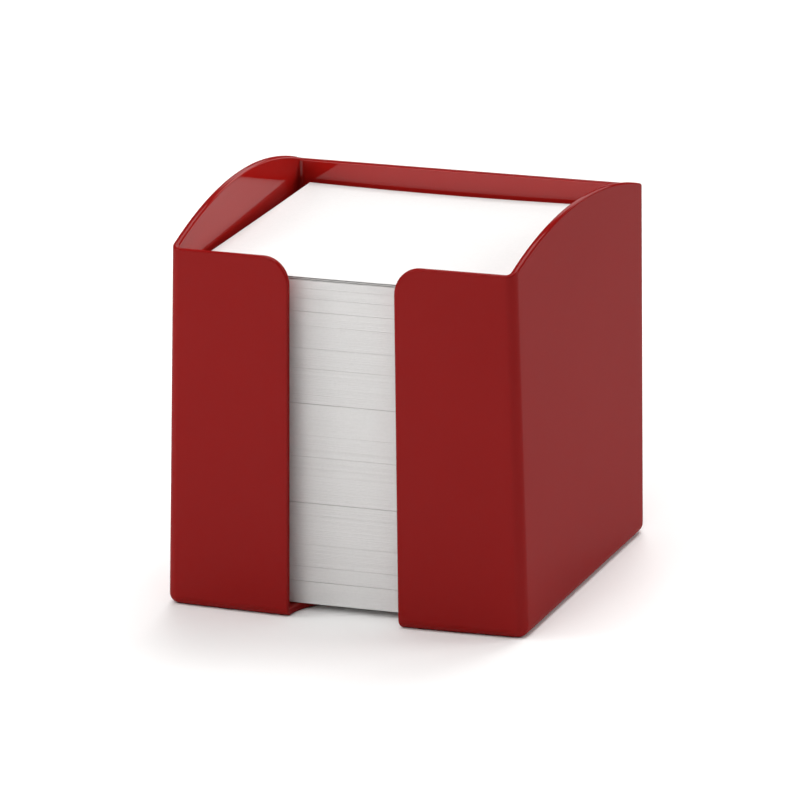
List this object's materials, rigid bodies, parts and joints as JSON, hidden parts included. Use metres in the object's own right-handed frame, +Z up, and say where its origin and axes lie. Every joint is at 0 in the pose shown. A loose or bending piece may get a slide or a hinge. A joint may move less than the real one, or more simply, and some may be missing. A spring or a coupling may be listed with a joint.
{
  "type": "memo cube holder",
  "caption": "Open-topped square desk box with arched sides and a full-height finger slot at the front, filled with loose square note paper.",
  "frame": {"origin": "middle of the underside's bounding box, on the surface that the box stands on", "axes": "+Z up, out of the open top; -Y to the front, where the finger slot is; +X to the right as seen from the front"},
  "size_m": [0.1, 0.1013, 0.1048],
  "materials": {
    "red_polystyrene": "glossy moulded, opaque red",
    "white_paper": "uncoated, matt white"
  },
  "bodies": {
    "holder": {"holder_box": "red_polystyrene"},
    "lower_stack": {"paper_pile_01": "white_paper", "paper_pile_02": "white_paper", "paper_pile_03": "white_paper", "paper_pile_04": "white_paper", "paper_pile_05": "white_paper"},
    "middle_stack": {"paper_pile_06": "white_paper", "paper_pile_07": "white_paper", "paper_pile_08": "white_paper", "paper_pile_09": "white_paper"},
    "upper_stack": {"paper_pile_10": "white_paper", "paper_pile_11": "white_paper", "paper_pile_12": "white_paper", "paper_pile_13": "white_paper", "paper_pile_14": "white_paper", "paper_pile_15": "white_paper", "paper_pile_16": "white_paper", "paper_pile_17": "white_paper"},
    "third_sheet": {"loose_sheet_1": "white_paper"},
    "second_sheet": {"loose_sheet_2": "white_paper"},
    "top_sheet": {"loose_sheet_3": "white_paper"}
  },
  "joints": [
    {"name": "lift_lower_stack", "type": "slide", "parent": "holder", "child": "lower_stack", "axis": [0, 0, 1], "range_m": [0, 0.108]},
    {"name": "lift_middle_stack", "type": "slide", "parent": "lower_stack", "child": "middle_stack", "axis": [0, 0, 1], "range_m": [0, 0.08]},
    {"name": "lift_upper_stack", "type": "slide", "parent": "middle_stack", "child": "upper_stack", "axis": [0, 0, 1], "range_m": [0, 0.053]},
    {"name": "lift_third_sheet", "type": "slide", "parent": "upper_stack", "child": "third_sheet", "axis": [0, 0, 1], "range_m": [0, 0.02]},
    {"name": "lift_second_sheet", "type": "slide", "parent": "third_sheet", "child": "second_sheet", "axis": [0, 0, 1], "range_m": [0, 0.02]},
    {"name": "lift_top_sheet", "type": "slide", "parent": "second_sheet", "child": "top_sheet", "axis": [0, 0, 1], "range_m": [0, 0.02]}
  ]
}
